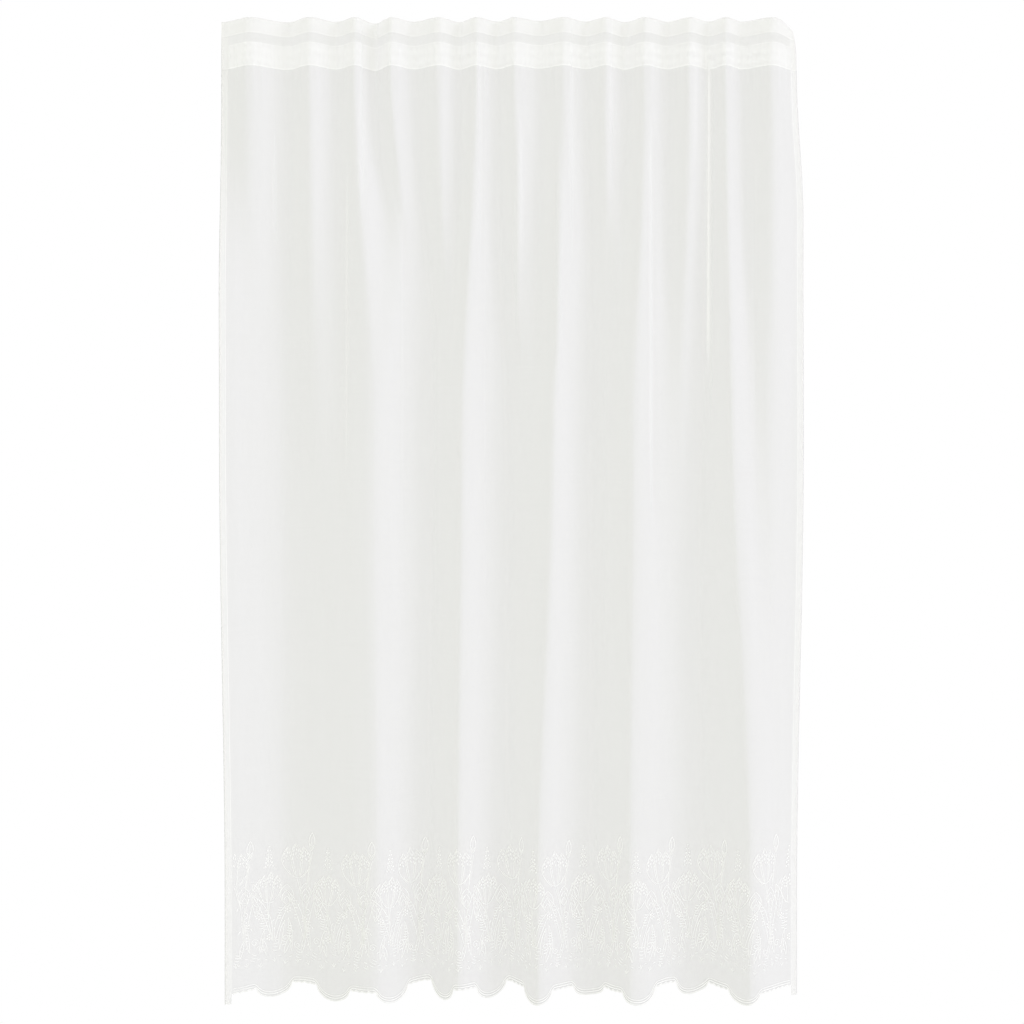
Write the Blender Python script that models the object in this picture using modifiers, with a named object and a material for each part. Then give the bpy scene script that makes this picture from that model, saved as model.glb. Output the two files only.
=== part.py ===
"""Sheer lace curtain, hanging from its top edge in soft folds.

Two sewn pieces: the cloth panel with its scalloped hem, and the heading tape on the panel's back.
Metres, +Z up, +X to the viewer's right, +Y away from the viewer. The origin is the middle of the
top edge, so the cloth hangs down from z = 0.
"""

import math

import bmesh
import bpy
import numpy as np

# Driving sizes
DROP = 2.45
FLAT_WIDTH = 1.80
CLOTH_THICKNESS = 0.0012
TAPE_THICKNESS = 0.0012
SEWN_GAP = 0.00045
TAPE_TOP = 0.060
TAPE_BOTTOM = 0.120
SIDE_HEM = 0.018

# The heading's small waves, left to right. The left end is a trough. Columns: x of the crest,
# x of the trough after it, and how far that trough lies behind the crests.
HEADING_LEFT = (-0.728, 0.044)
HEADING_WAVES = (
    (-0.649, -0.563, 0.046),
    (-0.500, -0.440, 0.042),
    (-0.388, -0.342, 0.056),
    (-0.298, -0.245, 0.040),
    (-0.178, -0.130, 0.044),
    (-0.087, -0.034, 0.038),
    (0.009, 0.070, 0.034),
    (0.132, 0.190, 0.038),
    (0.235, 0.286, 0.044),
    (0.334, 0.394, 0.040),
    (0.444, 0.496, 0.038),
    (0.535, 0.582, 0.040),
    (0.648, 0.720, 0.052),
)
HEADING_SHARPNESS = 0.62
HEADING_CREST_POWER = 1.0

# The broad folds that the waves merge into, a row for each turn of the cloth: crests and troughs in
# turn, from a crest at the left end. Columns: the heading's turn that it hangs from, counted from 0
# at the left end, its x at mid height, its x at the foot, and its distance behind the crests.
BROAD_FOLDS = (
    (0, -0.722, -0.708, 0.010),
    (2, -0.572, -0.570, 0.084),
    (5, -0.342, -0.334, 0.002),
    (8, -0.198, -0.208, 0.092),
    (11, -0.121, -0.130, 0.008),
    (12, -0.008, -0.008, 0.094),
    (15, 0.104, 0.068, 0.004),
    (16, 0.204, 0.206, 0.090),
    (19, 0.304, 0.296, 0.000),
    (22, 0.476, 0.484, 0.104),
    (23, 0.556, 0.592, 0.000),
    (26, 0.739, 0.722, 0.086),
)
BROAD_SHARPNESS = 0.88
BROAD_CREST_POWER = 1.0
BROAD_FORWARD = 0.028

# Where each heading wave between two broad folds has faded out. Columns: turn, depth from the top.
WAVE_TAILS = (
    (0.5, 0.72),
    (3.5, 1.40),
    (6.5, 0.70),
    (9.5, 0.95),
    (13.5, 1.34),
    (17.5, 0.74),
    (20.5, 1.60),
    (24.5, 1.75),
    (26.0, 0.50),
)
TAILS_START = 0.140
MID_HEIGHT = 1.05
FOOT_FOLDS = 2.20

# The top right corner sags and is drawn in
CORNER_REACH = 0.075
CORNER_DEPTH = 0.045
CORNER_SAG = 0.016
CORNER_INWARD = 0.012

# The scalloped hem: equal round lobes with small bumps between them. The valleys' heights are over
# the lobes' lowest points, from the valley left of the first lobe to the one right of the last.
LOBES = 10
FIRST_LOBE = 0.130
LOBE_PITCH = 0.1655
LOBE_HALF_WIDTH = 0.047
VALLEYS = (0.027, 0.038, 0.033, 0.038, 0.038, 0.035, 0.033, 0.027, 0.043, 0.027, 0.028)
BUMPS_PER_LOBE = 10
BUMP_DEPTH = 0.003

# Mesh
COLUMNS = 220
ROW_DEPTHS = (0.0, TAPE_TOP, TAPE_BOTTOM, 0.30, 0.50, 0.74, 1.02, 1.36, 1.80, 2.34)
SAMPLES_PER_TURN = 24
LENGTH_PASSES = 12
LENGTH_STEP = 1.6

# Colours
CLOTH_COLOUR = (0.82, 0.83, 0.80, 1.0)
TAPE_COLOUR = (0.90, 0.90, 0.88, 1.0)


def smooth(value):
    """Eased step from 0 to 1."""
    value = np.clip(value, 0.0, 1.0)
    return value * value * (3.0 - 2.0 * value)


def folded(turns, places, sharpness, crest_power):
    """Plan of a folded cloth at the given places along its turns. Each turn is (place, x, depth)."""
    number, x, depth = np.array(turns).T
    fold = np.clip(np.searchsorted(number, places, side="right") - 1, 0, len(number) - 2)
    share = (places - number[fold]) / (number[fold + 1] - number[fold])
    ease = 0.5 - 0.5 * np.arcsin(sharpness * np.cos(math.pi * share)) / math.asin(sharpness)
    to_crest = depth[fold + 1] < depth[fold]
    rise = np.where(to_crest, ease, 1.0 - ease) ** crest_power
    crest = np.minimum(depth[fold], depth[fold + 1])
    trough = np.maximum(depth[fold], depth[fold + 1])
    return np.column_stack((x[fold] + (x[fold + 1] - x[fold]) * share, trough - (trough - crest) * rise))


def cloth_lengths(line):
    """Length of cloth from the left end to each point of a plan line."""
    return np.concatenate(([0.0], np.cumsum(np.hypot(*np.diff(line, axis=0).T))))


def kept_length(line):
    """The line with its depth scaled until it holds the flat width of cloth."""
    middle = line[:, 1].mean()
    gain = 1.0
    for _ in range(LENGTH_PASSES):
        scaled = np.column_stack((line[:, 0], middle + gain * (line[:, 1] - middle)))
        gain *= 1.0 + LENGTH_STEP * (FLAT_WIDTH / cloth_lengths(scaled)[-1] - 1.0)
    return scaled


def heading_turns():
    crests_and_troughs = [HEADING_LEFT]
    for crest, trough, depth in HEADING_WAVES:
        crests_and_troughs += [(crest, 0.0), (trough, depth)]
    return [(turn, x, depth) for turn, (x, depth) in enumerate(crests_and_troughs)]


def plan_at(depth, across):
    """Plan of the cloth at one depth below the top edge, at the given shares of its width."""
    last = 2 * len(HEADING_WAVES)
    places = np.linspace(0.0, last, last * SAMPLES_PER_TURN + 1)
    waves = folded(heading_turns(), places, HEADING_SHARPNESS, HEADING_CREST_POWER)
    settled = smooth((depth - MID_HEIGHT) / (FOOT_FOLDS - MID_HEIGHT))
    turns = [(turn, mid + (foot - mid) * settled, y) for turn, mid, foot, y in BROAD_FOLDS]
    broad = folded(turns, places, BROAD_SHARPNESS, BROAD_CREST_POWER) - (0.0, BROAD_FORWARD)
    tails = np.interp(places, *np.array(WAVE_TAILS).T)
    faded = smooth((depth - TAILS_START) / (tails - TAILS_START))[:, None]
    line = kept_length((1.0 - faded) * waves + faded * broad)
    lengths = cloth_lengths(line)
    wanted = np.asarray(across) * lengths[-1]
    return np.column_stack([np.interp(wanted, lengths, line[:, axis]) for axis in (0, 1)])


def hem_depth(across):
    """Depth of the scalloped hem below the top edge, at the given shares of the width."""
    metres = np.asarray(across) * FLAT_WIDTH
    lobe = (metres - FIRST_LOBE) / LOBE_PITCH
    valley = np.interp(lobe, np.arange(LOBES + 1) - 0.5, VALLEYS)
    height = valley - BUMP_DEPTH * np.abs(np.sin(math.pi * lobe * BUMPS_PER_LOBE))
    nearest = np.clip(np.round(lobe), 0, LOBES - 1)
    away = np.clip(np.abs(lobe - nearest) * LOBE_PITCH / LOBE_HALF_WIDTH, 0.0, 1.0)
    height = np.minimum(height, valley * (1.0 - np.sqrt(1.0 - away**2)))
    from_side = np.minimum(metres, FLAT_WIDTH - metres)
    return DROP - np.where(from_side < SIDE_HEM, 0.0, height)


def cloth_points(across, depths):
    """The hung cloth's points at the given shares of the width, each at its own depth."""
    whole = np.linspace(0.0, 1.0, 2 * COLUMNS + 1)
    centre_y = np.interp(0.0, *plan_at(0.0, whole).T)
    points = np.empty((len(across), 3))
    for depth in np.unique(np.round(depths, 3)):
        here = np.round(depths, 3) == depth
        plan = plan_at(depth, whole)
        points[here, 0] = np.interp(across[here], whole, plan[:, 0])
        points[here, 1] = np.interp(across[here], whole, plan[:, 1]) - centre_y
    from_right = (1.0 - across) * FLAT_WIDTH
    corner = np.clip(1.0 - from_right / CORNER_REACH, 0.0, 1.0) ** 2 * np.exp(-depths / CORNER_DEPTH)
    points[:, 0] -= CORNER_INWARD * corner
    points[:, 2] = -depths - CORNER_SAG * corner
    return points


def new_material(name, colour, roughness):
    material = bpy.data.materials.new(name)
    material.use_nodes = True
    shader = material.node_tree.nodes["Principled BSDF"]
    shader.inputs["Base Color"].default_value = colour
    shader.inputs["Roughness"].default_value = roughness
    shader.inputs["Metallic"].default_value = 0.0
    material.diffuse_color = colour
    return material


def sheet_object(name, form, thickness, material, collection):
    """Object of an open sheet, given its thickness to both sides."""
    bmesh.ops.recalc_face_normals(form, faces=form.faces)
    mesh = bpy.data.meshes.new(name)
    form.to_mesh(mesh)
    form.free()
    mesh.materials.append(material)
    mesh.shade_smooth()
    sheet = bpy.data.objects.new(name, mesh)
    collection.objects.link(sheet)
    solidify = sheet.modifiers.new("Thickness", "SOLIDIFY")
    solidify.thickness = thickness
    solidify.offset = 0.0
    solidify.use_even_offset = True
    return sheet


def flat_grid(columns, rows):
    """A grid whose x and y run from 0 to 1, as shares of the width and of the rows."""
    form = bmesh.new()
    bmesh.ops.create_grid(form, x_segments=columns, y_segments=rows, size=0.5)
    bmesh.ops.translate(form, verts=form.verts, vec=(0.5, 0.5, 0.0))
    return form


def make_panel(collection):
    """The cloth, with its hems as part of it. The hem's edge has twice the columns."""
    rows = len(ROW_DEPTHS)
    form = flat_grid(COLUMNS, rows)
    hem_edges = [edge for edge in form.edges if all(v.co.y > 1.0 - 0.5 / rows for v in edge.verts)]
    bmesh.ops.subdivide_edges(form, edges=hem_edges, cuts=1)
    across = np.array([vert.co.x for vert in form.verts])
    row = np.array([round(vert.co.y * rows) for vert in form.verts])
    depths = np.append(ROW_DEPTHS, DROP)[row]
    depths = np.where(row == rows, hem_depth(across), depths)
    for vert, point in zip(form.verts, cloth_points(across, depths)):
        vert.co = point
    cloth = new_material("sheer cloth", CLOTH_COLOUR, 0.85)
    return sheet_object("lace_panel", form, CLOTH_THICKNESS, cloth, collection)


def make_tape(collection):
    """The heading tape, sewn to the panel's back a little inside the side hems."""
    inset = round(SIDE_HEM / FLAT_WIDTH * COLUMNS)
    across = np.linspace(0.0, 1.0, COLUMNS + 1)
    line = cloth_points(across, np.full(COLUMNS + 1, TAPE_TOP))[:, :2]
    steps = np.diff(line, axis=0)
    sides = np.column_stack((-steps[:, 1], steps[:, 0])) / np.hypot(*steps.T)[:, None]
    mitres = sides[:-1] + sides[1:]
    mitres *= 2.0 / (mitres**2).sum(axis=1)[:, None]
    backwards = np.concatenate((sides[:1], mitres, sides[-1:]))
    behind = CLOTH_THICKNESS / 2 + SEWN_GAP + TAPE_THICKNESS / 2
    back_line = (line + behind * backwards)[inset : COLUMNS + 1 - inset]
    form = flat_grid(len(back_line) - 1, 1)
    for vert in form.verts:
        x, y = back_line[round(vert.co.x * (len(back_line) - 1))]
        vert.co = (x, y, -TAPE_TOP if vert.co.y < 0.5 else -TAPE_BOTTOM)
    tape = new_material("heading tape", TAPE_COLOUR, 0.80)
    return sheet_object("heading_tape", form, TAPE_THICKNESS, tape, collection)


def main():
    for item in list(bpy.data.objects):
        bpy.data.objects.remove(item, do_unlink=True)
    collection = bpy.data.collections.new("lace curtain")
    bpy.context.scene.collection.children.link(collection)
    make_panel(collection)
    make_tape(collection)


main()
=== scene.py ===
"""Looks of the sheer lace curtain: voile, turned hems, woven heading tape and embroidered border.

Every piece is drawn flat, in metres across the cloth, off its face and down from its top edge, and
one function then hangs all of them in the same folds. +Y is away from the viewer.
"""

import math

import bpy
import numpy as np
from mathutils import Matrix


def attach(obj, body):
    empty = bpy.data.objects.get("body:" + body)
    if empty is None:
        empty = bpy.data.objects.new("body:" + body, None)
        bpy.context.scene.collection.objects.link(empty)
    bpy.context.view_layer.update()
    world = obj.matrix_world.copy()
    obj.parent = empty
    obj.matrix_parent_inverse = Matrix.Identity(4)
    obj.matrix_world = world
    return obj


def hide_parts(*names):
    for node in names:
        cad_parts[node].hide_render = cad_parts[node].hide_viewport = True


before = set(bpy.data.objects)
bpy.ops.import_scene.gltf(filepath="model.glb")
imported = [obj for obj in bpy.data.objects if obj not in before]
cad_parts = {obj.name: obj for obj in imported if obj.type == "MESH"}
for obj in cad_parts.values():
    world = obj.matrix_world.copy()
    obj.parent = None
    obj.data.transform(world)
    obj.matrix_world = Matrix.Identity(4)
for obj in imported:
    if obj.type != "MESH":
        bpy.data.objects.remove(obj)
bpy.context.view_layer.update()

# Sizes of the hung cloth, as in the solids
DROP = 2.45
FLAT_WIDTH = 1.80
TAPE_TOP = 0.060
TAPE_BOTTOM = 0.120
TOP_HEM = 0.038
SIDE_HEM = 0.018

# The heading's small waves, left to right. The left end is a trough. Columns: x of the crest,
# x of the trough after it, and how far that trough lies behind the crests.
HEADING_LEFT = (-0.728, 0.044)
HEADING_WAVES = (
    (-0.649, -0.563, 0.046),
    (-0.500, -0.440, 0.042),
    (-0.388, -0.342, 0.056),
    (-0.298, -0.245, 0.040),
    (-0.178, -0.130, 0.044),
    (-0.087, -0.034, 0.038),
    (0.009, 0.070, 0.034),
    (0.132, 0.190, 0.038),
    (0.235, 0.286, 0.044),
    (0.334, 0.394, 0.040),
    (0.444, 0.496, 0.038),
    (0.535, 0.582, 0.040),
    (0.648, 0.720, 0.052),
)
HEADING_SHARPNESS = 0.62

# The broad folds that the waves merge into. Columns: the heading's turn that each hangs from, its x
# at mid height, its x at the foot, and its distance behind the crests.
BROAD_FOLDS = (
    (0, -0.722, -0.708, 0.010),
    (2, -0.572, -0.570, 0.084),
    (5, -0.342, -0.334, 0.002),
    (8, -0.198, -0.208, 0.092),
    (11, -0.121, -0.130, 0.008),
    (12, -0.008, -0.008, 0.094),
    (15, 0.104, 0.068, 0.004),
    (16, 0.204, 0.206, 0.090),
    (19, 0.304, 0.296, 0.000),
    (22, 0.476, 0.484, 0.104),
    (23, 0.556, 0.592, 0.000),
    (26, 0.739, 0.722, 0.086),
)
BROAD_SHARPNESS = 0.88
BROAD_FORWARD = 0.028

# Where each heading wave between two broad folds has faded out. Columns: turn, depth from the top.
WAVE_TAILS = (
    (0.5, 0.72),
    (3.5, 1.40),
    (6.5, 0.70),
    (9.5, 0.95),
    (13.5, 1.34),
    (17.5, 0.74),
    (20.5, 1.60),
    (24.5, 1.75),
    (26.0, 0.50),
)
TAILS_START = 0.140
MID_HEIGHT = 1.05
FOOT_FOLDS = 2.20

# The top right corner sags and is drawn in
CORNER_REACH = 0.075
CORNER_DEPTH = 0.045
CORNER_SAG = 0.016
CORNER_INWARD = 0.012

# The scalloped hem: equal round lobes with small bumps between them. The valleys' heights are over
# the lobes' lowest points, from the valley left of the first lobe to the one right of the last.
LOBES = 10
FIRST_LOBE = 0.130
LOBE_PITCH = 0.1655
LOBE_HALF_WIDTH = 0.047
VALLEYS = (0.027, 0.038, 0.033, 0.038, 0.038, 0.035, 0.033, 0.027, 0.043, 0.027, 0.028)
BUMPS_PER_LOBE = 10
BUMP_DEPTH = 0.003

# How finely the folds are worked out
SAMPLES_PER_TURN = 72
LENGTH_PASSES = 12
LENGTH_STEP = 1.6
GRID_COLUMNS = 1800
GRID_ROWS = 246

# Soft creases in the cloth. Columns: x, depth where it starts, depth where it ends, its reach to the
# left and to the right, and its height towards the viewer.
CREASES = (
    (0.502, 0.05, 1.05, 0.0040, 0.0200, -0.0040),
    (0.353, 0.24, 1.30, 0.0045, 0.0140, -0.0048),
    (-0.409, 0.34, 1.10, 0.0026, 0.0030, -0.0010),
    (0.016, 0.18, 0.85, 0.0090, 0.0110, 0.0056),
    (0.116, 0.26, 0.95, 0.0080, 0.0120, 0.0042),
    (0.155, -0.05, 0.62, 0.0042, 0.0120, -0.0044),
    (0.255, -0.05, 0.50, 0.0040, 0.0120, -0.0036),
    (-0.368, -0.05, 0.52, 0.0050, 0.0120, -0.0046),
    (-0.076, -0.02, 0.66, 0.0042, 0.0110, -0.0040),
    (-0.590, 0.20, 0.60, 0.0040, 0.0090, -0.0026),
    (-0.268, 0.40, 1.30, 0.0050, 0.0100, -0.0014),
    (-0.062, 0.55, 1.50, 0.0045, 0.0100, -0.0016),
    (0.236, 0.70, 1.70, 0.0060, 0.0045, 0.0012),
    (0.610, 0.30, 1.10, 0.0060, 0.0080, -0.0012),
)
CREASE_FADE = 0.16

# Lines where the cloth is pinched together and so closer woven. Columns: x, depth where it starts,
# depth where it ends, half width, and the cover it adds.
PINCHES = (
    (0.4970, 0.02, 0.90, 0.0032, 0.34),
    (0.3480, 0.22, 1.18, 0.0046, 0.06),
    (-0.4090, 0.34, 1.14, 0.0026, 0.11),
    (0.0240, 0.20, 0.66, 0.0060, 0.05),
    (0.1540, 0.02, 0.50, 0.0060, 0.05),
    (0.2520, 0.02, 0.36, 0.0070, 0.06),
    (-0.3700, 0.02, 0.50, 0.0080, 0.06),
    (-0.0770, 0.04, 0.56, 0.0060, 0.05),
    (-0.5930, 0.22, 0.60, 0.0060, 0.04),
    (0.4600, 0.00, 0.40, 0.0080, 0.05),
)

# Pinched lines that the panel's columns stay on. Columns: x, and the middle of their places across.
FOLLOWED_LINES = (
    (0.4970, 1.504),
    (0.3480, 1.320),
)
FOLLOW_REACH = 0.090
FOLLOW_END = 1.60
FOLLOW_FADE = 0.40
FINE_COLUMNS = (-0.005, -0.003, -0.001, 0.001, 0.003, 0.005)

# Puckers below the sewn tape, of two pitches, and the slow unevenness all over the cloth
PUCKER_PITCH = 0.023
PUCKER_HEIGHT = 0.0006
WIDE_PUCKER_PITCH = 0.0371
WIDE_PUCKER_SHARE = 0.6
PUCKER_REACH = 0.07
DRIFT_HEIGHT = 0.0005

# Layers behind the face of the cloth
LAYER_GAP = 0.0007
SIDE_GAP = 0.00035
TAPE_OFFSET = 0.0014
ROLL_HEIGHT = 0.0007
ROLL_WIDTH = 0.004

# The panel's mesh
BODY_ROWS = 80
BORDER_START = 2.34
HEM_ROWS = 8
PANEL_COLUMNS = 900
TURNED_COLUMNS = (0.018, 0.012, 0.006, 0.0015)

# The heading tape: its cords' depths and radius, and its selvedges
TAPE_COLUMNS = 760
TAPE_CORDS = (0.067, 0.090, 0.113)
TAPE_CORD_RADIUS = 0.0011
TAPE_CORD_TURNS = (-1.0, -0.7, -0.35, 0.0, 0.35, 0.7, 1.0)
SELVEDGE = 0.0015

# Threads. A thread stands out of the cloth by its relief's share of the height that its stroke gives.
THREAD_STEP = 0.0040
THREAD_RELIEF = 0.45
THREAD_OFFSET = 0.0002
STITCH_STEP = 0.004
STITCH_SHARE = (0.14, 0.86)
SEAM_INSET = 0.0025

# A cup-shaped flower's petals. Columns: middle and half width as shares of the flower's half width,
# and the tip's height. Then the heights of its rows of satin stitches.
PETALS = ((-0.64, 0.38, 0.94), (0.0, 0.42, 1.00), (0.64, 0.38, 0.94))
SATIN_ROWS = (0.52, 0.63, 0.74, 0.85)

# Long leaves of the border. Columns: x and height of the foot, x and height of the tip, half width,
# sideways bow.
LONG_LEAVES = (
    (0.086, 0.150, 0.128, 0.300, 0.0075, 0.010),
    (0.080, 0.142, 0.030, 0.268, 0.0070, -0.012),
    (-0.004, 0.140, -0.058, 0.262, 0.0075, -0.012),
    (0.004, 0.138, 0.044, 0.236, 0.0065, 0.010),
)

# Blades and small forms that fill the border's lower part. Columns: x, height of the foot, height
# of the tip, lean in degrees.
BLADES = (
    (-0.066, 0.118, 0.188, -8),
    (-0.038, 0.112, 0.170, 12),
    (-0.020, 0.106, 0.150, -16),
    (0.016, 0.116, 0.190, 10),
    (0.028, 0.104, 0.152, 22),
    (0.046, 0.112, 0.196, -6),
    (0.074, 0.108, 0.150, 14),
)
# Columns: x, height, radius, turns, and where the scroll starts in radians
SCROLLS = (
    (-0.052, 0.142, 0.0100, 1.2, 0.4),
    (0.030, 0.144, 0.0105, 1.3, 3.6),
    (0.062, 0.128, 0.0090, 1.2, 1.9),
    (-0.078, 0.214, 0.0090, 1.2, 4.3),
)
# Columns: x and height of the foot, x and height of the head, half width, stitches
LADDERS = (
    (-0.076, 0.150, -0.070, 0.190, 0.0060, 6),
    (-0.058, 0.098, -0.052, 0.112, 0.0070, 3),
    (-0.032, 0.176, -0.030, 0.200, 0.0070, 5),
    (-0.022, 0.172, -0.018, 0.218, 0.0060, 6),
    (0.014, 0.196, 0.018, 0.222, 0.0060, 5),
    (0.058, 0.196, 0.056, 0.240, 0.0055, 6),
    (0.004, 0.116, 0.006, 0.142, 0.0065, 4),
    (0.038, 0.150, 0.042, 0.176, 0.0060, 5),
    (0.064, 0.098, 0.068, 0.118, 0.0065, 4),
)
DOT_FLOWERS = ((-0.040, 0.206), (0.036, 0.216), (0.082, 0.192), (-0.012, 0.150))
# Short stitches strewn between them. Columns: x, height, lean in degrees
DASHES = (
    (-0.074, 0.128, 20),
    (-0.058, 0.172, -30),
    (-0.046, 0.128, 60),
    (-0.030, 0.140, 10),
    (-0.024, 0.118, -50),
    (-0.004, 0.186, 35),
    (0.004, 0.166, -20),
    (0.022, 0.126, 75),
    (0.028, 0.176, -15),
    (0.044, 0.130, 25),
    (0.052, 0.162, -60),
    (0.070, 0.170, 40),
    (0.078, 0.124, -25),
    (0.066, 0.226, 15),
    (-0.070, 0.104, -75),
    (-0.044, 0.098, 82),
    (-0.016, 0.094, -68),
    (0.012, 0.100, 88),
    (0.040, 0.096, 70),
    (0.074, 0.092, -80),
)
SPRIGS = (
    (-0.071, 0.083, -20),
    (-0.036, 0.076, 6),
    (0.003, 0.086, -8),
    (0.029, 0.078, 14),
    (0.064, 0.083, -12),
)

# The weave: its pitches, how far its threads wander, and what gaps and slubs do to it
VOILE_PITCH = 0.00055
TAPE_PITCH = 0.0012
FLOSS_PITCH = 0.0006
SEWING_PITCH = 0.0004
THREAD_WANDER = 0.006
WEAVE_GAPS = 0.24
SLUB_COVER = 0.05
SLUB_RELIEF = 0.8

# The voile's cover, and what the heading and its top hem add to it
VOILE_COVER = 0.60
HEADING_COVER = 0.10
HEM_COVER = 0.08

# Shares of the light that come through the fibres, and the fibres' colours
VOILE_GLOW = 0.20
HEADING_GLOW = 0.33
TAPE_GLOW = 0.58
THREAD_GLOW = 0.35
CLOTH_WHITE = (0.945, 0.943, 0.944, 1.0)
TAPE_WHITE = (0.968, 0.968, 0.974, 1.0)
THREAD_WHITE = (0.945, 0.945, 0.936, 1.0)

# Studio. The ground is white behind the curtain, grey around it, and painted darker where it shows through
# cloth: a painted shade.
FLOOR_HEIGHT = -2.90
FLOOR_RADIUS = 1.05
CAMERA_PLACE = (0.0025, -3.79, -1.2314)
CAMERA_FOCAL = 1522.0  # in pixels of the square frame
FRAME_PIXELS = 1024
# The floor's shaded colour is a painted shade, shown only where the floor is seen through the cloth
FLOOR_PALE = (0.90, 0.90, 0.89, 1.0)
FLOOR_SHADED = (0.58, 0.58, 0.57, 1.0)
GROUND_BEHIND = (1.0, 1.0, 1.0, 1.0)
GROUND_AROUND = (0.50, 0.50, 0.50, 1.0)
GROUND_SHADED = (0.632, 0.632, 0.630, 1.0)
BACKDROP_EDGE = (0.885, 0.902)
ROOM_LEFT = (0.928, 0.946, 0.845, 1.0)
ROOM_RIGHT = (1.054, 1.047, 1.066, 1.0)
KEY_ENERGY = 0.47
KEY_COLOUR = (1.0, 0.97, 1.22)
KEY_ANGLE = 30.0
KEY_TURN = (72.0, 0.0, 68.0)


def smooth(value):
    """Eased step from 0 to 1."""
    value = np.clip(value, 0.0, 1.0)
    return value * value * (3.0 - 2.0 * value)


def folded(turns, places, sharpness):
    """Plan of a folded cloth at the given places along its turns. Each turn is (place, x, depth)."""
    number, x, depth = np.array(turns).T
    fold = np.clip(np.searchsorted(number, places, side="right") - 1, 0, len(number) - 2)
    share = (places - number[fold]) / (number[fold + 1] - number[fold])
    ease = 0.5 - 0.5 * np.arcsin(sharpness * np.cos(math.pi * share)) / math.asin(sharpness)
    to_crest = depth[fold + 1] < depth[fold]
    rise = np.where(to_crest, ease, 1.0 - ease)
    crest = np.minimum(depth[fold], depth[fold + 1])
    trough = np.maximum(depth[fold], depth[fold + 1])
    return np.column_stack((x[fold] + (x[fold + 1] - x[fold]) * share, trough - (trough - crest) * rise))


def cloth_lengths(line):
    """Length of cloth from the left end to each point of a plan line."""
    return np.concatenate(([0.0], np.cumsum(np.hypot(*np.diff(line, axis=0).T))))


def kept_length(line):
    """The line with its depth scaled until it holds the flat width of cloth."""
    middle = line[:, 1].mean()
    gain = 1.0
    for _ in range(LENGTH_PASSES):
        scaled = np.column_stack((line[:, 0], middle + gain * (line[:, 1] - middle)))
        gain *= 1.0 + LENGTH_STEP * (FLAT_WIDTH / cloth_lengths(scaled)[-1] - 1.0)
    return scaled


def heading_turns():
    crests_and_troughs = [HEADING_LEFT]
    for crest, trough, depth in HEADING_WAVES:
        crests_and_troughs += [(crest, 0.0), (trough, depth)]
    return [(turn, x, depth) for turn, (x, depth) in enumerate(crests_and_troughs)]


def plan_at(depth, across):
    """Plan of the cloth at one depth below the top edge, at the given shares of its width."""
    last = 2 * len(HEADING_WAVES)
    places = np.linspace(0.0, last, last * SAMPLES_PER_TURN + 1)
    waves = folded(heading_turns(), places, HEADING_SHARPNESS)
    settled = smooth((depth - MID_HEIGHT) / (FOOT_FOLDS - MID_HEIGHT))
    turns = [(turn, mid + (foot - mid) * settled, y) for turn, mid, foot, y in BROAD_FOLDS]
    broad = folded(turns, places, BROAD_SHARPNESS) - (0.0, BROAD_FORWARD)
    tails = np.interp(places, *np.array(WAVE_TAILS).T)
    faded = smooth((depth - TAILS_START) / (tails - TAILS_START))[:, None]
    line = kept_length((1.0 - faded) * waves + faded * broad)
    lengths = cloth_lengths(line)
    wanted = np.asarray(across) * lengths[-1]
    return np.column_stack([np.interp(wanted, lengths, line[:, axis]) for axis in (0, 1)])


def hem_depth(across):
    """Depth of the scalloped hem below the top edge, at the given shares of the width."""
    metres = np.asarray(across) * FLAT_WIDTH
    lobe = (metres - FIRST_LOBE) / LOBE_PITCH
    valley = np.interp(lobe, np.arange(LOBES + 1) - 0.5, VALLEYS)
    height = valley - BUMP_DEPTH * np.abs(np.sin(math.pi * lobe * BUMPS_PER_LOBE))
    nearest = np.clip(np.round(lobe), 0, LOBES - 1)
    away = np.clip(np.abs(lobe - nearest) * LOBE_PITCH / LOBE_HALF_WIDTH, 0.0, 1.0)
    height = np.minimum(height, valley * (1.0 - np.sqrt(1.0 - away**2)))
    from_side = np.minimum(metres, FLAT_WIDTH - metres)
    return DROP - np.where(from_side < SIDE_HEM, 0.0, height)


def crease_relief(plan_x, metres, depth):
    """How far the creases and puckers raise one row of the cloth towards the viewer."""
    relief = np.zeros(len(metres))
    for x, start, end, left, right, height in CREASES:
        beside = metres - np.interp(x, plan_x, metres)
        reach = np.where(beside < 0.0, left, right)
        fade = smooth((depth - start) / CREASE_FADE) * smooth((end - depth) / CREASE_FADE)
        relief += fade * height * np.exp(-((beside / reach) ** 2))
    below = math.exp(-((depth - TAPE_BOTTOM) / PUCKER_REACH) ** 2)
    narrow = np.sin(2 * math.pi * metres / PUCKER_PITCH)
    wide = WIDE_PUCKER_SHARE * np.sin(2 * math.pi * metres / WIDE_PUCKER_PITCH)
    relief += PUCKER_HEIGHT * below * (narrow + wide)
    # The unevenness is about 65 mm across and 2 m down
    drift = np.sin(metres * 97.0 + 1.7 * math.sin(depth * 2.1)) * np.sin(depth * 3.3 + metres * 21.0)
    return relief + DRIFT_HEIGHT * drift


def pinched_cover(plan_x, depth):
    """The cover that the pinched lines add to one row of the cloth."""
    added = np.zeros(len(plan_x))
    for x, start, end, half_width, cover in PINCHES:
        fade = smooth((depth - start) / CREASE_FADE) * smooth((end - depth) / CREASE_FADE)
        added += fade * cover * np.exp(-(((plan_x - x) / half_width) ** 2))
    return added


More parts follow.
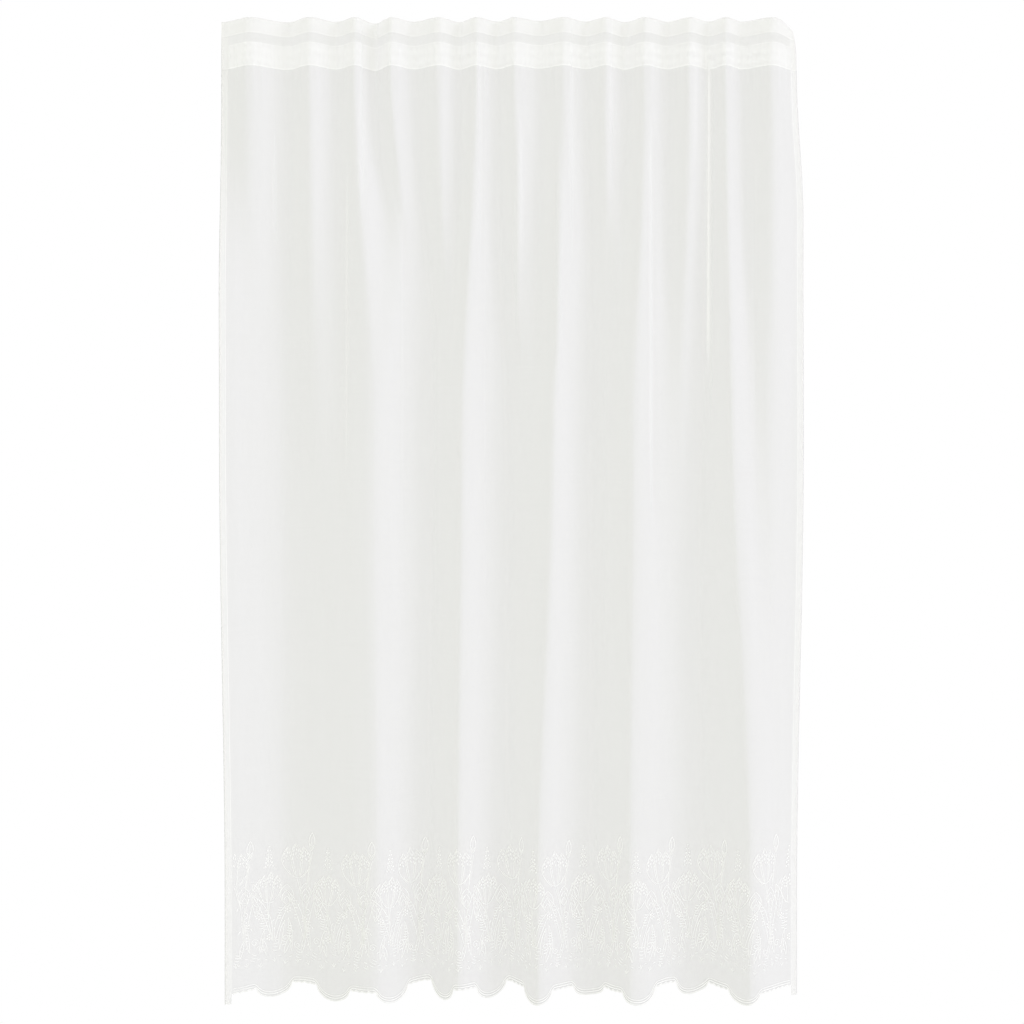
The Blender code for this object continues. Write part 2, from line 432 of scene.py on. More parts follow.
class HungCloth:
    """The cloth's folds, worked out once on a grid and read between its points."""

    def __init__(self):
        across = np.linspace(0.0, 1.0, GRID_COLUMNS + 1)
        centre_y = np.interp(0.0, *plan_at(0.0, across).T)
        rows = []
        for depth in np.linspace(0.0, DROP, GRID_ROWS):
            plan = plan_at(depth, across)
            along = np.gradient(plan, axis=0)
            along /= np.hypot(*along.T)[:, None]
            relief = crease_relief(plan[:, 0], across * FLAT_WIDTH, depth)
            facing = np.column_stack((along[:, 1], -along[:, 0]))
            plan = plan + facing * relief[:, None] - (0.0, centre_y)
            rows.append(np.column_stack((plan, facing, pinched_cover(plan[:, 0], depth))))
        self.rows = np.array(rows)

    def at(self, metres, depth):
        """Plan point, direction that faces the viewer and pinch, for points on the flat cloth."""
        column = np.clip(metres / FLAT_WIDTH, 0.0, 1.0) * GRID_COLUMNS
        row = np.clip(depth / DROP, 0.0, 1.0) * (GRID_ROWS - 1)
        left = np.minimum(column.astype(int), GRID_COLUMNS - 1)
        upper = np.minimum(row.astype(int), GRID_ROWS - 2)
        right_share = (column - left)[:, None]
        lower_share = (row - upper)[:, None]
        top = self.rows[upper, left] * (1 - right_share) + self.rows[upper, left + 1] * right_share
        lower = upper + 1
        foot = self.rows[lower, left] * (1 - right_share) + self.rows[lower, left + 1] * right_share
        return top * (1 - lower_share) + foot * lower_share

    def across_at(self, x, depth):
        """Metres across the flat cloth that hang at x, at one depth."""
        row = depth / DROP * (GRID_ROWS - 1)
        upper = min(int(row), GRID_ROWS - 2)
        across = np.linspace(0.0, FLAT_WIDTH, GRID_COLUMNS + 1)
        places = [np.interp(x, self.rows[near][:, 0], across) for near in (upper, upper + 1)]
        return places[0] + (places[1] - places[0]) * (row - upper)

    def hung(self, flat):
        """Hung places of flat points (metres across, metres off the face, depth)."""
        metres, off, depth = np.asarray(flat, float).T
        plan = self.at(metres, depth)
        points = np.empty((len(metres), 3))
        points[:, :2] = plan[:, :2] + plan[:, 2:4] * off[:, None]
        from_right = FLAT_WIDTH - metres
        corner = np.clip(1.0 - from_right / CORNER_REACH, 0.0, 1.0) ** 2 * np.exp(-depth / CORNER_DEPTH)
        points[:, 0] -= CORNER_INWARD * corner
        points[:, 2] = -depth - CORNER_SAG * corner
        return points


def hung_piece(name, flat, faces, material):
    """A mesh piece from flat points and faces, hung in the folds, with its flat place as its UV."""
    flat = np.asarray(flat, float)
    mesh = bpy.data.meshes.new(name)
    mesh.from_pydata(CLOTH.hung(flat).tolist(), [], list(faces))
    mesh.materials.append(material)
    mesh.shade_smooth()
    corners = np.empty(len(mesh.loops), dtype=np.int32)
    mesh.loops.foreach_get("vertex_index", corners)
    layer = mesh.uv_layers.new(name="flat")
    layer.data.foreach_set("uv", flat[corners][:, (0, 2)].astype(np.float32).ravel())
    piece = bpy.data.objects.new(name, mesh)
    bpy.context.scene.collection.objects.link(piece)
    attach(piece, "root")
    return piece


def grid_faces(rows, columns):
    """Quads between the points of a grid, row by row."""
    corner = (np.arange(rows - 1)[:, None] * columns + np.arange(columns - 1)).ravel()
    return np.column_stack((corner, corner + columns, corner + columns + 1, corner + 1))


# Materials

def node(tree, kind, inputs=(), **settings):
    """A new node with its settings and inputs set. An input is a value or another node's output."""
    made = tree.nodes.new(kind)
    for key, value in settings.items():
        setattr(made, key, value)
    for key, value in dict(inputs).items():
        if isinstance(value, bpy.types.NodeSocket):
            tree.links.new(value, made.inputs[key])
        else:
            made.inputs[key].default_value = value
    return made


def math_node(tree, operation, *values):
    return node(tree, "ShaderNodeMath", dict(enumerate(values)), operation=operation).outputs[0]


def empty_material(name):
    material = bpy.data.materials.new(name)
    material.use_nodes = True
    material.node_tree.nodes.clear()
    return material, material.node_tree


def thread_waves(tree, place, pitch_across, pitch_down):
    """Height of a plain weave, from 0 to 1, from waves across and down the cloth, a little uneven."""
    drift = node(tree, "ShaderNodeTexNoise", {"Vector": place, "Scale": 45.0, "Detail": 1.0}).outputs[1]
    wander = node(tree, "ShaderNodeVectorMath", {0: drift, 1: (THREAD_WANDER,) * 3}, operation="MULTIPLY")
    wavy = node(tree, "ShaderNodeVectorMath", {0: place, 1: wander.outputs[0]}, operation="ADD").outputs[0]
    parts = node(tree, "ShaderNodeSeparateXYZ", {0: wavy}).outputs
    across = math_node(tree, "SINE", math_node(tree, "MULTIPLY", parts[0], 2 * math.pi / pitch_across))
    down = math_node(tree, "SINE", math_node(tree, "MULTIPLY", parts[1], 2 * math.pi / pitch_down))
    return math_node(tree, "MULTIPLY_ADD", math_node(tree, "ADD", across, down), 0.25, 0.5)


def streaks(tree, place, scale):
    """Uneven threads: noise drawn out along one direction, about 0.5."""
    stretched = node(tree, "ShaderNodeMapping", {"Vector": place, "Scale": scale}).outputs[0]
    noise = node(tree, "ShaderNodeTexNoise", {"Vector": stretched, "Scale": 1.0, "Detail": 3.0})
    return noise.outputs[0]


def weave_and_slubs(tree, place, pitch):
    """Heights of a weave, from 0 to 1, and of its uneven threads, about 0."""
    slubs = math_node(
        tree,
        "ADD",
        math_node(tree, "SUBTRACT", streaks(tree, place, (900.0, 9.0, 1.0)), 0.5),
        math_node(tree, "SUBTRACT", streaks(tree, place, (7.0, 700.0, 1.0)), 0.5),
    )
    return thread_waves(tree, place, pitch, pitch * 1.1), slubs


def fibres(tree, colour, glow, weave, slubs, strength):
    """Matt fibres with the relief of their weave, which let that share of the light through."""
    relief = math_node(tree, "MULTIPLY_ADD", slubs, SLUB_RELIEF, weave)
    bump = {"Height": relief, "Strength": strength, "Distance": 0.0004}
    raised = node(tree, "ShaderNodeBump", bump).outputs[0]
    front = node(
        tree,
        "ShaderNodeBsdfPrincipled",
        {
            "Base Color": colour,
            "Roughness": 0.86,
            "Sheen Weight": 0.25,
            "Sheen Roughness": 0.4,
            "Specular IOR Level": 0.25,
            "Normal": raised,
        },
    ).outputs[0]
    through = node(tree, "ShaderNodeBsdfTranslucent", {"Color": colour, "Normal": raised}).outputs[0]
    return node(tree, "ShaderNodeMixShader", {0: glow, 1: front, 2: through}).outputs[0]


def voile_material():
    """See-through cloth whose threads, slubs and gaps follow its flat place. Its heading is closer."""
    material, tree = empty_material("voile")
    place = node(tree, "ShaderNodeUVMap", uv_map="flat").outputs[0]
    weave, slubs = weave_and_slubs(tree, place, VOILE_PITCH)
    depth = node(tree, "ShaderNodeSeparateXYZ", {0: place}).outputs[1]
    in_heading = math_node(tree, "LESS_THAN", depth, TAPE_BOTTOM)
    in_hem = math_node(tree, "LESS_THAN", depth, TOP_HEM)
    glow = math_node(tree, "MULTIPLY_ADD", in_heading, HEADING_GLOW, VOILE_GLOW)
    cloth = fibres(tree, CLOTH_WHITE, glow, weave, slubs, 0.10)
    cover = math_node(tree, "MULTIPLY_ADD", slubs, SLUB_COVER, VOILE_COVER)
    cover = math_node(tree, "MULTIPLY_ADD", math_node(tree, "SUBTRACT", weave, 0.5), WEAVE_GAPS, cover)
    cover = math_node(tree, "MULTIPLY_ADD", in_heading, HEADING_COVER, cover)
    cover = math_node(tree, "MULTIPLY_ADD", in_hem, HEM_COVER, cover)
    pinch = node(tree, "ShaderNodeAttribute", attribute_name="pinch").outputs["Fac"]
    covered = node(tree, "ShaderNodeClamp", {"Value": math_node(tree, "ADD", cover, pinch)}).outputs[0]
    clear = node(tree, "ShaderNodeBsdfTransparent").outputs[0]
    seen = node(tree, "ShaderNodeMixShader", {0: covered, 1: clear, 2: cloth}).outputs[0]
    node(tree, "ShaderNodeOutputMaterial", {"Surface": seen})
    return material


def tape_material():
    """The tape's close weave, which has no gaps."""
    material, tree = empty_material("tape weave")
    place = node(tree, "ShaderNodeUVMap", uv_map="flat").outputs[0]
    weave, slubs = weave_and_slubs(tree, place, TAPE_PITCH)
    woven = fibres(tree, TAPE_WHITE, TAPE_GLOW, weave, slubs, 0.15)
    node(tree, "ShaderNodeOutputMaterial", {"Surface": woven})
    return material


def thread_material(name, pitch):
    """Twisted thread: matt, a little uneven in tone, with a share of light that comes through it."""
    material, tree = empty_material(name)
    place = node(tree, "ShaderNodeUVMap", uv_map="flat").outputs[0]
    twist = thread_waves(tree, place, pitch, pitch * 1.3)
    tone = node(tree, "ShaderNodeTexNoise", {"Vector": place, "Scale": 60.0, "Detail": 2.0}).outputs[0]
    shade = node(
        tree,
        "ShaderNodeMix",
        {0: tone, "A": (*[c * 0.97 for c in THREAD_WHITE[:3]], 1.0), "B": THREAD_WHITE},
        data_type="RGBA",
    ).outputs[2]
    relief = {"Height": twist, "Strength": 0.15, "Distance": 0.0003}
    raised = node(tree, "ShaderNodeBump", relief).outputs[0]
    fibre = node(
        tree,
        "ShaderNodeBsdfPrincipled",
        {
            "Base Color": shade,
            "Roughness": 0.7,
            "Specular IOR Level": 0.05,
            "Normal": raised,
        },
    ).outputs[0]
    through = node(tree, "ShaderNodeBsdfTranslucent", {"Color": shade, "Normal": raised}).outputs[0]
    thread = node(tree, "ShaderNodeMixShader", {0: THREAD_GLOW, 1: fibre, 2: through}).outputs[0]
    node(tree, "ShaderNodeOutputMaterial", {"Surface": thread})
    return material


# The panel and its turned hems

def turned_rows():
    """Rows of the panel, from the turned top hem's raw edge over the fold and down the face.

    Columns: depth, and metres off the face.
    """
    back = [(depth, -LAYER_GAP) for depth in (TOP_HEM, 0.030, 0.020, 0.010)]
    behind = -LAYER_GAP - ROLL_HEIGHT
    roll = [(ROLL_WIDTH, behind), (0.0015, behind), (0.0, -0.5 * LAYER_GAP)]
    front = [(0.0015, ROLL_HEIGHT), (ROLL_WIDTH, 0.4 * ROLL_HEIGHT)]
    front += [(depth, 0.0) for depth in (0.007, 0.014, 0.026)]
    body = [(depth, 0.0) for depth in np.linspace(TOP_HEM, BORDER_START, BODY_ROWS)]
    return back + roll + front + body


def panel_columns():
    """Columns of the panel: metres across, and metres off the face, with both turned side hems."""
    even = np.linspace(0.0, FLAT_WIDTH, PANEL_COLUMNS + 1)
    fine = [middle + offset for _, middle in FOLLOWED_LINES for offset in FINE_COLUMNS]
    face = [(metres, 0.0) for metres in np.sort(np.concatenate((even, fine)))]
    left = [(metres, -SIDE_GAP) for metres in TURNED_COLUMNS]
    right = [(FLAT_WIDTH - metres, -SIDE_GAP) for metres in reversed(TURNED_COLUMNS)]
    face[0] = (0.0, -0.5 * SIDE_GAP)
    face[-1] = (FLAT_WIDTH, -0.5 * SIDE_GAP)
    return left + face + right


def followed(metres, depth):
    """The columns at one depth, moved across so that they stay on the pinched lines."""
    moved = metres.copy()
    for x, middle in FOLLOWED_LINES:
        drift = (CLOTH.across_at(x, depth) - middle) * smooth((FOLLOW_END - depth) / FOLLOW_FADE)
        moved += drift * smooth(1.0 - np.abs(metres - middle) / FOLLOW_REACH)
    return moved


def make_panel(material):
    """The whole cloth as one sheet: face, turned top hem, turned side hems below it and scalloped foot."""
    columns = np.array(panel_columns())
    rows = np.array(turned_rows())
    hem = hem_depth(columns[:, 0] / FLAT_WIDTH)
    level = np.ones(len(columns))
    flat = []
    for depth, off in rows:
        flat.append(np.column_stack((followed(columns[:, 0], depth), columns[:, 1] + off, depth * level)))
    for step in range(1, HEM_ROWS + 1):
        depths = BORDER_START + (hem - BORDER_START) * step / HEM_ROWS
        flat.append(np.column_stack((columns, depths)))
    faces = grid_faces(len(flat), len(columns))
    row, column = np.divmod(faces[:, 0], len(columns))
    from_edge = np.minimum(column, len(columns) - 2 - column)
    kept = (row >= len(rows) - BODY_ROWS) | (from_edge >= len(TURNED_COLUMNS))
    used, faces = np.unique(faces[kept], return_inverse=True)
    flat = np.concatenate(flat)[used]
    panel = hung_piece("panel_voile", flat, faces.reshape(-1, 4).tolist(), material)
    pinch = panel.data.attributes.new("pinch", "FLOAT", "POINT")
    pinch.data.foreach_set("value", CLOTH.at(flat[:, 0], flat[:, 2])[:, 4].astype(np.float32))
    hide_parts("lace_panel")
    return panel


# The heading tape

def make_tape(material):
    """The woven tape on the panel's back, with thicker selvedges and three draw cords."""
    across = np.linspace(SIDE_HEM, FLAT_WIDTH - SIDE_HEM, TAPE_COLUMNS + 1)
    profile = [(TAPE_TOP, 0.3), (TAPE_TOP + SELVEDGE, 0.6), (TAPE_TOP + 2 * SELVEDGE, 0.0)]
    for cord in TAPE_CORDS:
        profile += [(cord + turn * TAPE_CORD_RADIUS, 1.0 - turn * turn) for turn in TAPE_CORD_TURNS]
    profile += [(TAPE_BOTTOM - 2 * SELVEDGE, 0.0), (TAPE_BOTTOM - SELVEDGE, 0.3), (TAPE_BOTTOM, 0.3)]
    level = np.ones(len(across))
    rows = []
    for depth, rise in profile:
        off = -TAPE_OFFSET - rise * TAPE_CORD_RADIUS
        rows.append(np.column_stack((across, off * level, depth * level)))
    faces = grid_faces(len(rows), len(across))
    tape = hung_piece("tape_woven", np.concatenate(rows), faces, material)
    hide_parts("heading_tape")
    return tape


# Threads and embroidery. A stroke is (points, widths, height): points on the flat cloth as
# (metres across, height above the longest drop), the thread's width at each, and its height.

def stroke(points, width, height=0.0004, ends=0.35):
    """One line of thread whose width narrows at both ends to the given share."""
    points = np.asarray(points, float)
    share = np.linspace(-1.0, 1.0, len(points))
    widths = width * (ends + (1.0 - ends) * np.sqrt(np.clip(1.0 - share**4, 0.0, 1.0)))
    return points, widths, height


def bow(start, end, bulge, count=None):
    """Points from start to end, bowed sideways by bulge, to the left of the way up."""
    start, end = np.asarray(start, float), np.asarray(end, float)
    run = end - start
    length = math.hypot(*run)
    count = count or max(4, int(length / THREAD_STEP) + 1)
    share = np.linspace(0.0, 1.0, count)[:, None]
    side = np.array((-run[1], run[0])) / length
    return start + run * share + side * bulge * 4 * share * (1 - share)


def lance(base, tip, half_width, width, skew=0.0, height=0.0004):
    """Outline of a pointed leaf or petal from its two bowed sides."""
    return [
        stroke(bow(base, tip, half_width + skew), width, height, 0.7),
        stroke(bow(base, tip, -half_width + skew), width, height, 0.7),
    ]


def bead(centre, radius, lean=0.0, height=0.0007):
    """A small raised satin dot."""
    x, y = centre
    reach = np.array((math.sin(lean), math.cos(lean))) * radius
    points = np.array((x, y)) + np.linspace(-1.0, 1.0, 4)[:, None] * reach
    return stroke(points, 1.7 * radius, height, 0.45)


def curl(centre, radius, turns, lean, width=0.0012):
    """A small spiral tendril."""
    share = np.linspace(0.0, 1.0, int(12 * turns) + 2)
    angle = lean + 2 * math.pi * turns * share
    reach = radius * (1.0 - 0.75 * share)
    around = np.column_stack((np.cos(angle), np.sin(angle)))
    return stroke(np.asarray(centre) + around * reach[:, None], width)


def turned(base, length, degrees):
    """The point at a length from base, leaning that many degrees to the right of straight up."""
    lean = math.radians(degrees)
    return base[0] + length * math.sin(lean), base[1] + length * math.cos(lean)


def bud(base, length, lean):
    """A slender pointed bud in outline, with its middle vein and two sepals."""
    tip = turned(base, length, lean)
    strokes = lance(base, tip, 0.0085, 0.0020)
    strokes.append(stroke(bow(base, turned(base, 0.8 * length, lean), 0.001), 0.0013, 0.0005))
    for side in (-1, 1):
        sepal = turned(base, 0.45 * length, lean + 26 * side)
        strokes.append(stroke(bow(base, sepal, 0.003 * side), 0.0018))
    return strokes


def cup_points(base, height, half_width, lean, across, rise):
    """Points on a cup-shaped flower, at shares of its half width and of its height."""
    across, rise = np.asarray(across, float), np.asarray(rise, float)
    x = half_width * across * np.sin(math.pi * (0.10 + 0.62 * rise))
    y = height * rise * (1.0 - 0.10 * across**2)
    turn = math.radians(lean)
    return np.column_stack((
        base[0] + x * math.cos(turn) + y * math.sin(turn),
        base[1] - x * math.sin(turn) + y * math.cos(turn),
    ))


def tulip(base, height, half_width, lean=0.0):
    """A cup-shaped flower of three petals, with satin stitches towards their ragged tips."""
    cup = (base, height, half_width, lean)
    share = np.linspace(0.0, 1.0, 13)
    strokes = []
    for middle, reach, tip in PETALS:
        for side in (-1, 1):
            across = middle + side * reach * np.cos(0.5 * math.pi * share**3)
            strokes.append(stroke(cup_points(*cup, across, tip * share), 0.0017))
        for row, rise in enumerate(SATIN_ROWS):
            narrowed = reach * (0.74 - 0.13 * row)
            for place in (-1, 0, 1):
                foot = middle + narrowed * place + 0.05 * (-1) ** (row + place)
                head = middle + narrowed * place * 0.8
                lift = 0.03 * (place == 0)
                rises = np.add((rise, rise + 0.04, rise + 0.08), lift) * tip
                line = cup_points(*cup, (foot, (foot + head) / 2, head), rises)
                strokes.append(stroke(line, 0.0030, 0.0007, 0.5))
    for side in (-1, 1):
        sepal = turned(base, 0.36 * height, lean + 50 * side)
        strokes.append(stroke(bow(base, sepal, -0.005 * side), 0.0018))
    return strokes


def spike(base, length, rows):
    """A spike of small flowers: pairs of beads that close up towards the top."""
    strokes = [stroke(bow(base, turned(base, length, 0), 0.001), 0.0010)]
    for row in range(rows):
        share = row / (rows - 1)
        height = base[1] + length * (0.10 + 0.86 * share)
        reach = 0.0085 * (1.0 - share) + 0.0016
        for side in (-1, 1):
            strokes.append(bead((base[0] + side * reach, height), 0.0027 - 0.0009 * share, 0.7 * side))
            if share < 0.55:
                strokes.append(bead((base[0] + side * reach * 0.45, height + 0.0035), 0.0019, 0.4 * side))
    return strokes


def broad_leaf(base, tip, half_width, veins, skew=0.0):
    """A rounded leaf with a midrib and slanted side veins."""
    strokes = lance(base, tip, half_width, 0.0017, skew)
    rib = bow(base, tip, skew)
    strokes.append(stroke(rib, 0.0013))
    left = bow(base, tip, half_width + skew, len(rib))
    right = bow(base, tip, -half_width + skew, len(rib))
    for place in np.linspace(0.12, 0.72, veins):
        start = int(place * (len(rib) - 1))
        end = min(len(rib) - 1, start + max(1, len(rib) // 6))
        for edge in (left, right):
            strokes.append(stroke(bow(rib[start], edge[end], 0.0008, 4), 0.0009, 0.0004))
    return strokes


def stems(foot, head, bulge, gap):
    """A stem of two lines that close up at the foot."""
    return [
        stroke(bow(foot, (head[0] + side * gap, head[1]), bulge + side * gap * 0.5), 0.0017)
        for side in (-0.5, 0.5)
    ]


def arches(base, half_width, length, rings):
    """A rounded leaf drawn as nested arches that meet at its foot."""
    strokes = []
    for ring in range(rings):
        share = 1.0 - 0.28 * ring
        top = (base[0], base[1] + length * share)
        for side in (-1, 1):
            strokes.append(stroke(bow(base, top, side * half_width * share), 0.0017, 0.0004, 0.5))
    return strokes


def sprig(base, length, lean):
    """Three short stitches that fan out."""
    strokes = []
    for side in (-1, 0, 1):
        tip = turned(base, length * (1.0 - 0.15 * abs(side)), lean + 34 * side)
        strokes.append(stroke(bow(base, tip, 0.001 * side), 0.0014))
    return strokes


def ladder(foot, head, half_width, rungs):
    """A stack of short stitches across a line."""
    run = np.subtract(head, foot)
    side = np.array((-run[1], run[0])) / math.hypot(*run) * half_width
    places = np.asarray(foot) + run * np.linspace(0.0, 1.0, rungs)[:, None]
    return [stroke(bow(place - side, place + side, 0.0012, 4), 0.0019) for place in places]


def dot_flower(centre, radius, petals=6):
    """A small flower of satin dots around a middle one."""
    strokes = [bead(centre, 0.0020)]
    for petal in range(petals):
        lean = 360.0 * petal / petals
        strokes.append(bead(turned(centre, radius, lean), 0.0024, math.radians(lean)))
    return strokes


def border_repeat(lobe):
    """The embroidery over one lobe of the hem, about x = 0, as named groups of strokes."""
    sway = 0.004 * math.sin(2.3 * lobe)
    tall = (0.010, 0.0, -0.006)[lobe % 3]
    bud_foot = (0.086, 0.150)
    bud_head = (0.103 + sway, 0.358 + tall)
    tulip_base = (0.064 + sway, 0.292 + 0.5 * tall)
    small_base = (-0.014 - sway, 0.236)
    leaves = []
    for x0, y0, x1, y1, half_width, skew in LONG_LEAVES:
        leaves += lance((x0, y0), (x1, y1), half_width, 0.0016, skew)
    leaves += broad_leaf((-0.050, 0.206), (-0.056 + sway, 0.290), 0.013, 4, -0.008)
    leaves += arches((0.034, 0.226), 0.017, 0.054, 3) + arches((-0.080, 0.236), 0.015, 0.050, 3)
    filling = []
    for x, low, high, lean in BLADES:
        tip = (x + (high - low) * math.tan(math.radians(lean)), high)
        filling += lance((x, low), tip, 0.0042, 0.0016, 0.003 * math.sin(90 * x))
    for x, height, radius, turns, start in SCROLLS:
        filling.append(curl((x + sway, height), radius, turns, start, 0.0017))
    for x0, y0, x1, y1, half_width, rungs in LADDERS:
        filling += ladder((x0, y0), (x1, y1), half_width, rungs)
    for x, height in DOT_FLOWERS:
        filling += dot_flower((x - sway, height), 0.0065)
    for x, height, lean in DASHES:
        filling.append(stroke(bow((x, height), turned((x, height), 0.009, lean), 0.0008, 4), 0.0020))
    for x, height, lean in SPRIGS:
        filling += sprig((x, height - sway), 0.013, lean)
    return {
        "buds": bud(bud_head, 0.046, 3 - 300 * sway),
        "tulips": tulip(tulip_base, 0.088, 0.040, -4) + tulip(small_base, 0.078, 0.032, 5),
        "spikes": spike((-0.012 - sway, 0.322), 0.058, 6),
        "stems": stems(bud_foot, bud_head, 0.006, 0.0065)
        + stems((0.082, 0.140), tulip_base, -0.006, 0.0060)
        + stems((0.000, 0.138), small_base, 0.006, 0.0060),
        "leaves": leaves,
        "filling": filling,
    }


def thread_mesh(strokes):
    """Flat points and faces of all strokes, each a thread that lies on the cloth's face."""
    points, faces, first = [], [], 0
    for line, widths, height in strokes:
        way = np.gradient(line, axis=0)
        way /= np.maximum(np.hypot(*way.T), 1e-9)[:, None]
        side = np.column_stack((-way[:, 1], way[:, 0])) * widths[:, None] / 2
        rise = THREAD_OFFSET + THREAD_RELIEF * height * widths / widths.max()
        rows = np.empty((3, len(line), 3))
        for row, sideways in enumerate((1, 0, -1)):
            rows[row, :, 0] = line[:, 0] + sideways * side[:, 0]
            rows[row, :, 1] = THREAD_OFFSET if sideways else rise
            rows[row, :, 2] = DROP - (line[:, 1] + sideways * side[:, 1])
        points.append(rows.reshape(-1, 3))
        faces.append(grid_faces(3, len(line)) + first)
        first += 3 * len(line)
    return np.concatenate(points), np.concatenate(faces)


def inside_hems(strokes):
    """The strokes that lie wholly between the side hems."""
    clear = SIDE_HEM + 0.002
    return [s for s in strokes if s[0][:, 0].min() > clear and s[0][:, 0].max() < FLAT_WIDTH - clear]


def make_embroidery(material):
    """The border's motifs, repeated over the lobes, one piece for each kind."""
    kinds = {}
    for lobe in range(-1, LOBES + 1):
        place = (FIRST_LOBE + lobe * LOBE_PITCH, 0.0)
        for kind, strokes in border_repeat(lobe).items():
            moved = [(line + place, widths, height) for line, widths, height in strokes]
            kinds.setdefault(kind, []).extend(inside_hems(moved))
    pieces = []
    for kind, strokes in kinds.items():
        flat, faces = thread_mesh(strokes)
        pieces.append(hung_piece("embroidery_" + kind, flat, faces, material))
    return pieces


def hem_line(above, step, bumps=True):
    """A line that follows the scalloped hem at a distance above it."""
    metres = np.arange(SIDE_HEM + 0.003, FLAT_WIDTH - SIDE_HEM - 0.002, step)
    heights = DROP - hem_depth(metres / FLAT_WIDTH) + above
    if not bumps:
        kernel = np.hanning(int(0.012 / step) * 2 + 3)
        padded = np.pad(heights, len(kernel) // 2, mode="edge")
        heights = np.convolve(padded, kernel / kernel.sum(), mode="valid")[: len(metres)]
    return np.column_stack((metres, heights))


def make_scallops(material):
    """The corded edge of the hem and the two lines of stitching that follow it."""
    strokes = [
        stroke(hem_line(0.0004, 0.002), 0.0030, 0.0010, 0.9),
        stroke(hem_line(0.0065, 0.003, False), 0.0018, 0.0007, 0.9),
        stroke(hem_line(0.0125, 0.003, False), 0.0015, 0.0006, 0.9),
    ]
    flat, faces = thread_mesh(strokes)
    return hung_piece("hem_scallop_cord", flat, faces, material)


def stitches(start, end, step=STITCH_STEP):
    """A line of separate machine stitches from start to end, as (metres across, depth)."""
    start, end = np.array(start, float), np.array(end, float)
    count = int(math.hypot(*(end - start)) / step)
    made = []
    for place in range(count):
        first, last = (start + (end - start) * (place + share) / count for share in STITCH_SHARE)
        metres, depths = np.linspace(first, last, 3).T
        line = np.column_stack((metres, DROP - depths))
        made.append(stroke(line, 0.0005, 0.0003, 0.6))
    return made


def make_seams(material):
    """Machine stitching along the top hem, the side hems and both edges of the tape."""
    right = FLAT_WIDTH - SIDE_HEM
    strokes = stitches((0.002, TOP_HEM - SEAM_INSET), (FLAT_WIDTH - 0.002, TOP_HEM - SEAM_INSET))
    for depth in (TAPE_TOP + SEAM_INSET, TAPE_BOTTOM - SEAM_INSET):
        strokes += stitches((SIDE_HEM + 0.002, depth), (right - 0.002, depth))
    for metres in (SIDE_HEM - SEAM_INSET, right + SEAM_INSET):
        strokes += stitches((metres, 0.004), (metres, DROP - 0.004))
    flat, faces = thread_mesh(strokes)
    return hung_piece("seam_stitches", flat, faces, material)


# Studio

def seen_through_cloth(tree):
    """1 where the camera looks through the cloth, and 0 elsewhere: the mask of the painted shade on the
    ground and floor behind it.
    """
    path = node(tree, "ShaderNodeLightPath").outputs
    behind = math_node(tree, "GREATER_THAN", path["Transparent Depth"], 0.5)
    return math_node(tree, "MULTIPLY", behind, path["Is Camera Ray"])


def make_floor():
    bpy.ops.mesh.primitive_cylinder_add(
        vertices=96, radius=FLOOR_RADIUS, depth=0.02, location=(0, 0, FLOOR_HEIGHT)
    )
    floor = bpy.context.object
    floor.name = "studio_floor"
    material, tree = empty_material("studio floor")
    # A pale floor, and a copy of it painted darker, a painted shade, for where it shows through the cloth
    pale, shaded = (
        node(tree, "ShaderNodeBsdfPrincipled", {"Base Color": colour, "Roughness": 0.9}).outputs[0]
        for colour in (FLOOR_PALE, FLOOR_SHADED)
    )
    seen = node(tree, "ShaderNodeMixShader", {0: seen_through_cloth(tree), 1: pale, 2: shaded})
    node(tree, "ShaderNodeOutputMaterial", {"Surface": seen.outputs[0]})
    floor.data.materials.append(material)


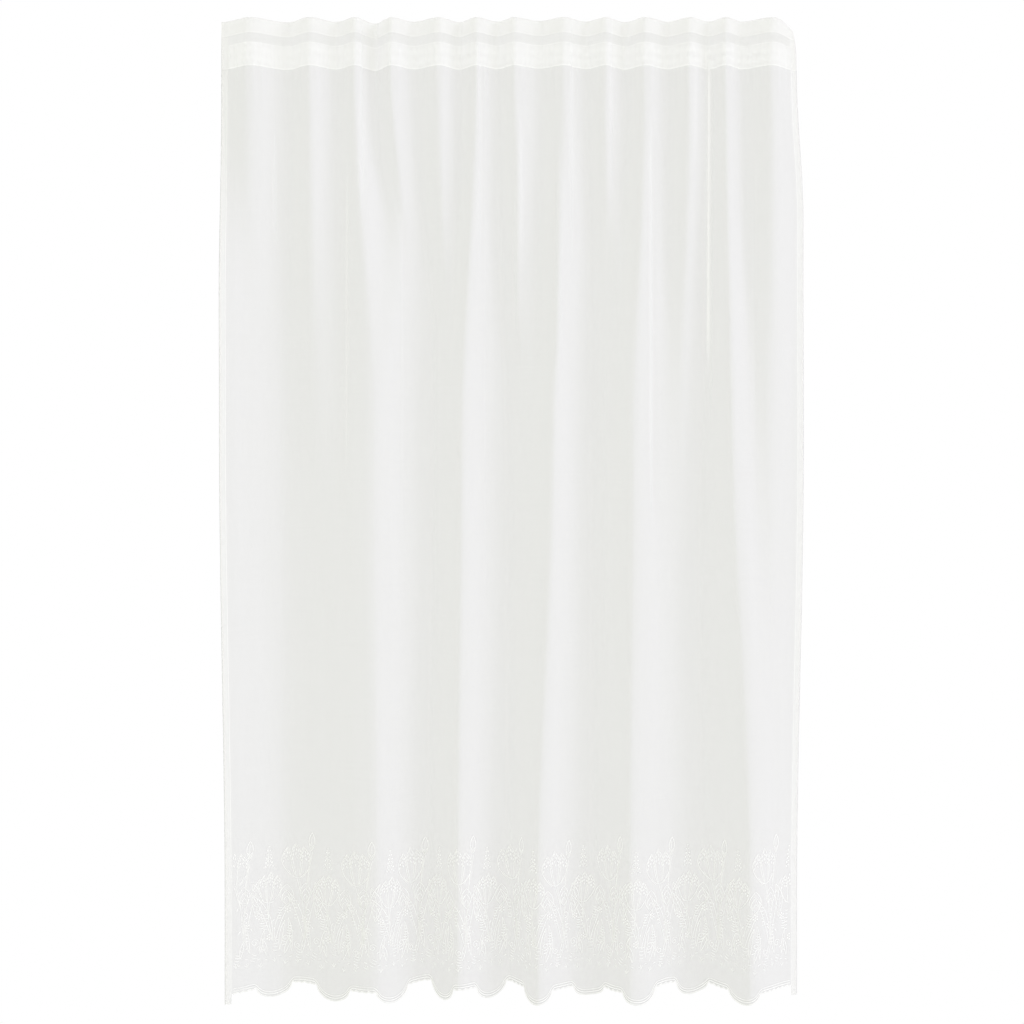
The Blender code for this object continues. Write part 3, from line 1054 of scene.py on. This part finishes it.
def make_light():
    """Soft room light on a white ground behind the curtain, grey elsewhere, and a painted shade where the
    ground shows through cloth.
    """
    world = bpy.data.worlds.new("studio")
    bpy.context.scene.world = world
    world.use_nodes = True
    tree = world.node_tree
    tree.nodes.clear()
    direction = node(tree, "ShaderNodeTexCoord").outputs["Generated"]
    towards = node(tree, "ShaderNodeSeparateXYZ", {0: direction}).outputs
    edge = {"Value": towards[1], "From Min": BACKDROP_EDGE[0], "From Max": BACKDROP_EDGE[1]}
    backdrop = node(tree, "ShaderNodeMapRange", edge).outputs[0]
    ground_seen = node(
        tree, "ShaderNodeMix", {0: backdrop, "A": GROUND_AROUND, "B": GROUND_BEHIND}, data_type="RGBA"
    ).outputs[2]
    # The ground that shows through the cloth is painted darker: a painted shade
    seen = node(
        tree,
        "ShaderNodeMix",
        {0: seen_through_cloth(tree), "A": ground_seen, "B": GROUND_SHADED},
        data_type="RGBA",
    )
    from_right = math_node(tree, "MULTIPLY_ADD", towards[0], 0.5, 0.5)
    room = node(
        tree,
        "ShaderNodeMix",
        {0: from_right, "A": ROOM_LEFT, "B": ROOM_RIGHT},
        data_type="RGBA",
    )
    to_camera = node(tree, "ShaderNodeLightPath").outputs["Is Camera Ray"]
    light = node(
        tree, "ShaderNodeMix", {0: to_camera, "A": room.outputs[2], "B": seen.outputs[2]}, data_type="RGBA"
    )
    ground = node(tree, "ShaderNodeBackground", {"Color": light.outputs[2], "Strength": 1.0})
    node(tree, "ShaderNodeOutputWorld", {"Surface": ground.outputs[0]})
    key = bpy.data.lights.new("key", "SUN")
    key.energy = KEY_ENERGY
    key.color = KEY_COLOUR
    key.angle = math.radians(KEY_ANGLE)
    key_object = bpy.data.objects.new("key", key)
    key_object.rotation_euler = [math.radians(turn) for turn in KEY_TURN]
    bpy.context.scene.collection.objects.link(key_object)


def make_camera():
    camera = bpy.data.cameras.new("camera")
    camera.sensor_width = 36.0
    camera.lens = CAMERA_FOCAL / FRAME_PIXELS * camera.sensor_width
    camera_object = bpy.data.objects.new("camera", camera)
    camera_object.location = CAMERA_PLACE
    camera_object.rotation_euler = (math.radians(90), 0.0, 0.0)
    bpy.context.scene.collection.objects.link(camera_object)
    bpy.context.scene.camera = camera_object


CLOTH = HungCloth()
floss = thread_material("embroidery floss", FLOSS_PITCH)
sewing = thread_material("sewing thread", SEWING_PITCH)

panel = make_panel(voile_material())
tape = make_tape(tape_material())
worked = make_embroidery(floss) + [make_scallops(floss), make_seams(sewing)]

make_floor()
make_light()
make_camera()
bpy.context.scene.view_settings.view_transform = "Standard"
